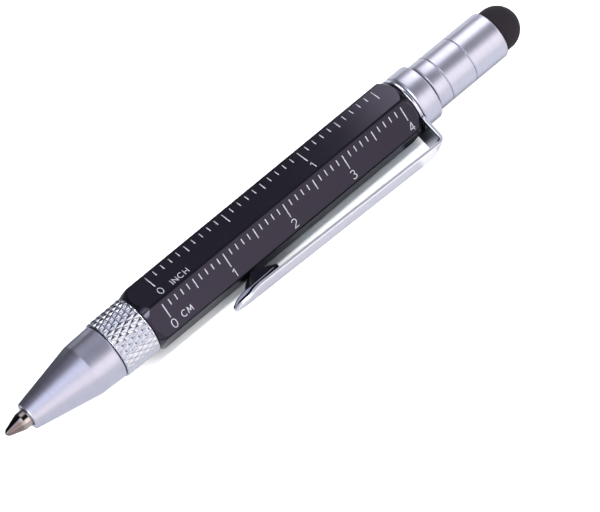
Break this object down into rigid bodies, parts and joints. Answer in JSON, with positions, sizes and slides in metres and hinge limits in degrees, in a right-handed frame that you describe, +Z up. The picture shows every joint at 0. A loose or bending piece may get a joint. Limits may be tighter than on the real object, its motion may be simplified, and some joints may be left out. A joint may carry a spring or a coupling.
{
  "type": "multi tool pen",
  "caption": "Short twist ball pen with a hexagonal ruler barrel, knurled grip, pocket clip and a stylus cap over a screwdriver bit.",
  "frame": {"origin": "on the table, under the middle of the lying pen's bounding box", "axes": "+X along the pen from the writing tip to the stylus, +Z up, with the pocket clip on the -Y side and turned down until its edge touches the table"},
  "size_m": [0.0858, 0.012, 0.009],
  "materials": {
    "black_lacquer": "satin black lacquer on a metal barrel, with white printed scales on two facets",
    "satin_aluminium": "matt satin, turned",
    "polished_steel": "polished sheet",
    "nickel": "polished nickel silver",
    "brass": "plain drawn or turned",
    "tool_steel": "plain turned steel",
    "black_rubber": "soft and matt",
    "white_nylon": "moulded, satin",
    "carbide": "ground and polished"
  },
  "bodies": {
    "barrel": {"hex_barrel": "black_lacquer", "front_bush": "brass", "guide_sleeve": "tool_steel", "tail_bush": "tool_steel", "rear_collar": "satin_aluminium", "cap_o_ring": "black_rubber"},
    "grip": {"knurled_grip_ring": "satin_aluminium", "cam_tube": "brass", "snap_ring": "tool_steel", "grip_o_ring": "black_rubber"},
    "nose": {"nose_cone": "satin_aluminium"},
    "carriage": {"refill_carrier": "white_nylon", "drive_pin": "tool_steel"},
    "refill": {"refill_tube": "brass", "refill_point": "nickel"},
    "ball": {"writing_ball": "carbide"},
    "cap": {"stylus_cap": "satin_aluminium", "stylus_plug": "satin_aluminium", "stylus_dome": "black_rubber"},
    "bit": {"screwdriver_bit": "tool_steel"},
    "clip": {"pocket_clip": "polished_steel", "clip_pad": "polished_steel"}
  },
  "joints": [
    {"name": "grip_twist", "type": "hinge", "parent": "barrel", "child": "grip", "pos_m": [-0.024, 0.00155, 0.00448], "axis": [1, 0, 0], "range_deg": [0, 180]},
    {"name": "refill_travel", "type": "slide", "parent": "barrel", "child": "carriage", "axis": [1, 0, 0], "range_m": [0, 0.004]},
    {"name": "refill_pull", "type": "slide", "parent": "carriage", "child": "refill", "axis": [-1, 0, 0], "range_m": [0, 0.052]},
    {"name": "ball_roll", "type": "hinge", "parent": "refill", "child": "ball", "pos_m": [-0.0426, 0.00155, 0.00448], "axis": [0, 1, 0], "continuous": true},
    {"name": "nose_unscrew", "type": "slide", "parent": "grip", "child": "nose", "axis": [-1, 0, 0], "range_m": [0, 0.025]},
    {"name": "cap_unscrew", "type": "slide", "parent": "barrel", "child": "cap", "axis": [1, 0, 0], "range_m": [0, 0.025]},
    {"name": "bit_pull", "type": "slide", "parent": "barrel", "child": "bit", "axis": [1, 0, 0], "range_m": [0, 0.01]},
    {"name": "clip_flex", "type": "hinge", "parent": "barrel", "child": "clip", "pos_m": [0.02268, -0.00444, 0.00289], "axis": [0, -0.2565, 0.9665], "range_deg": [0, 5], "stiffness_Nm_per_rad": 0.98, "springref_deg": -1, "deforming": ["pocket_clip"]}
  ],
  "couplings": [
    {"joint": "grip_twist", "follows": "refill_travel", "rad_per_m": 785.4},
    {"joint": "bit_pull", "follows": "cap_unscrew", "ratio": 0.4}
  ]
}
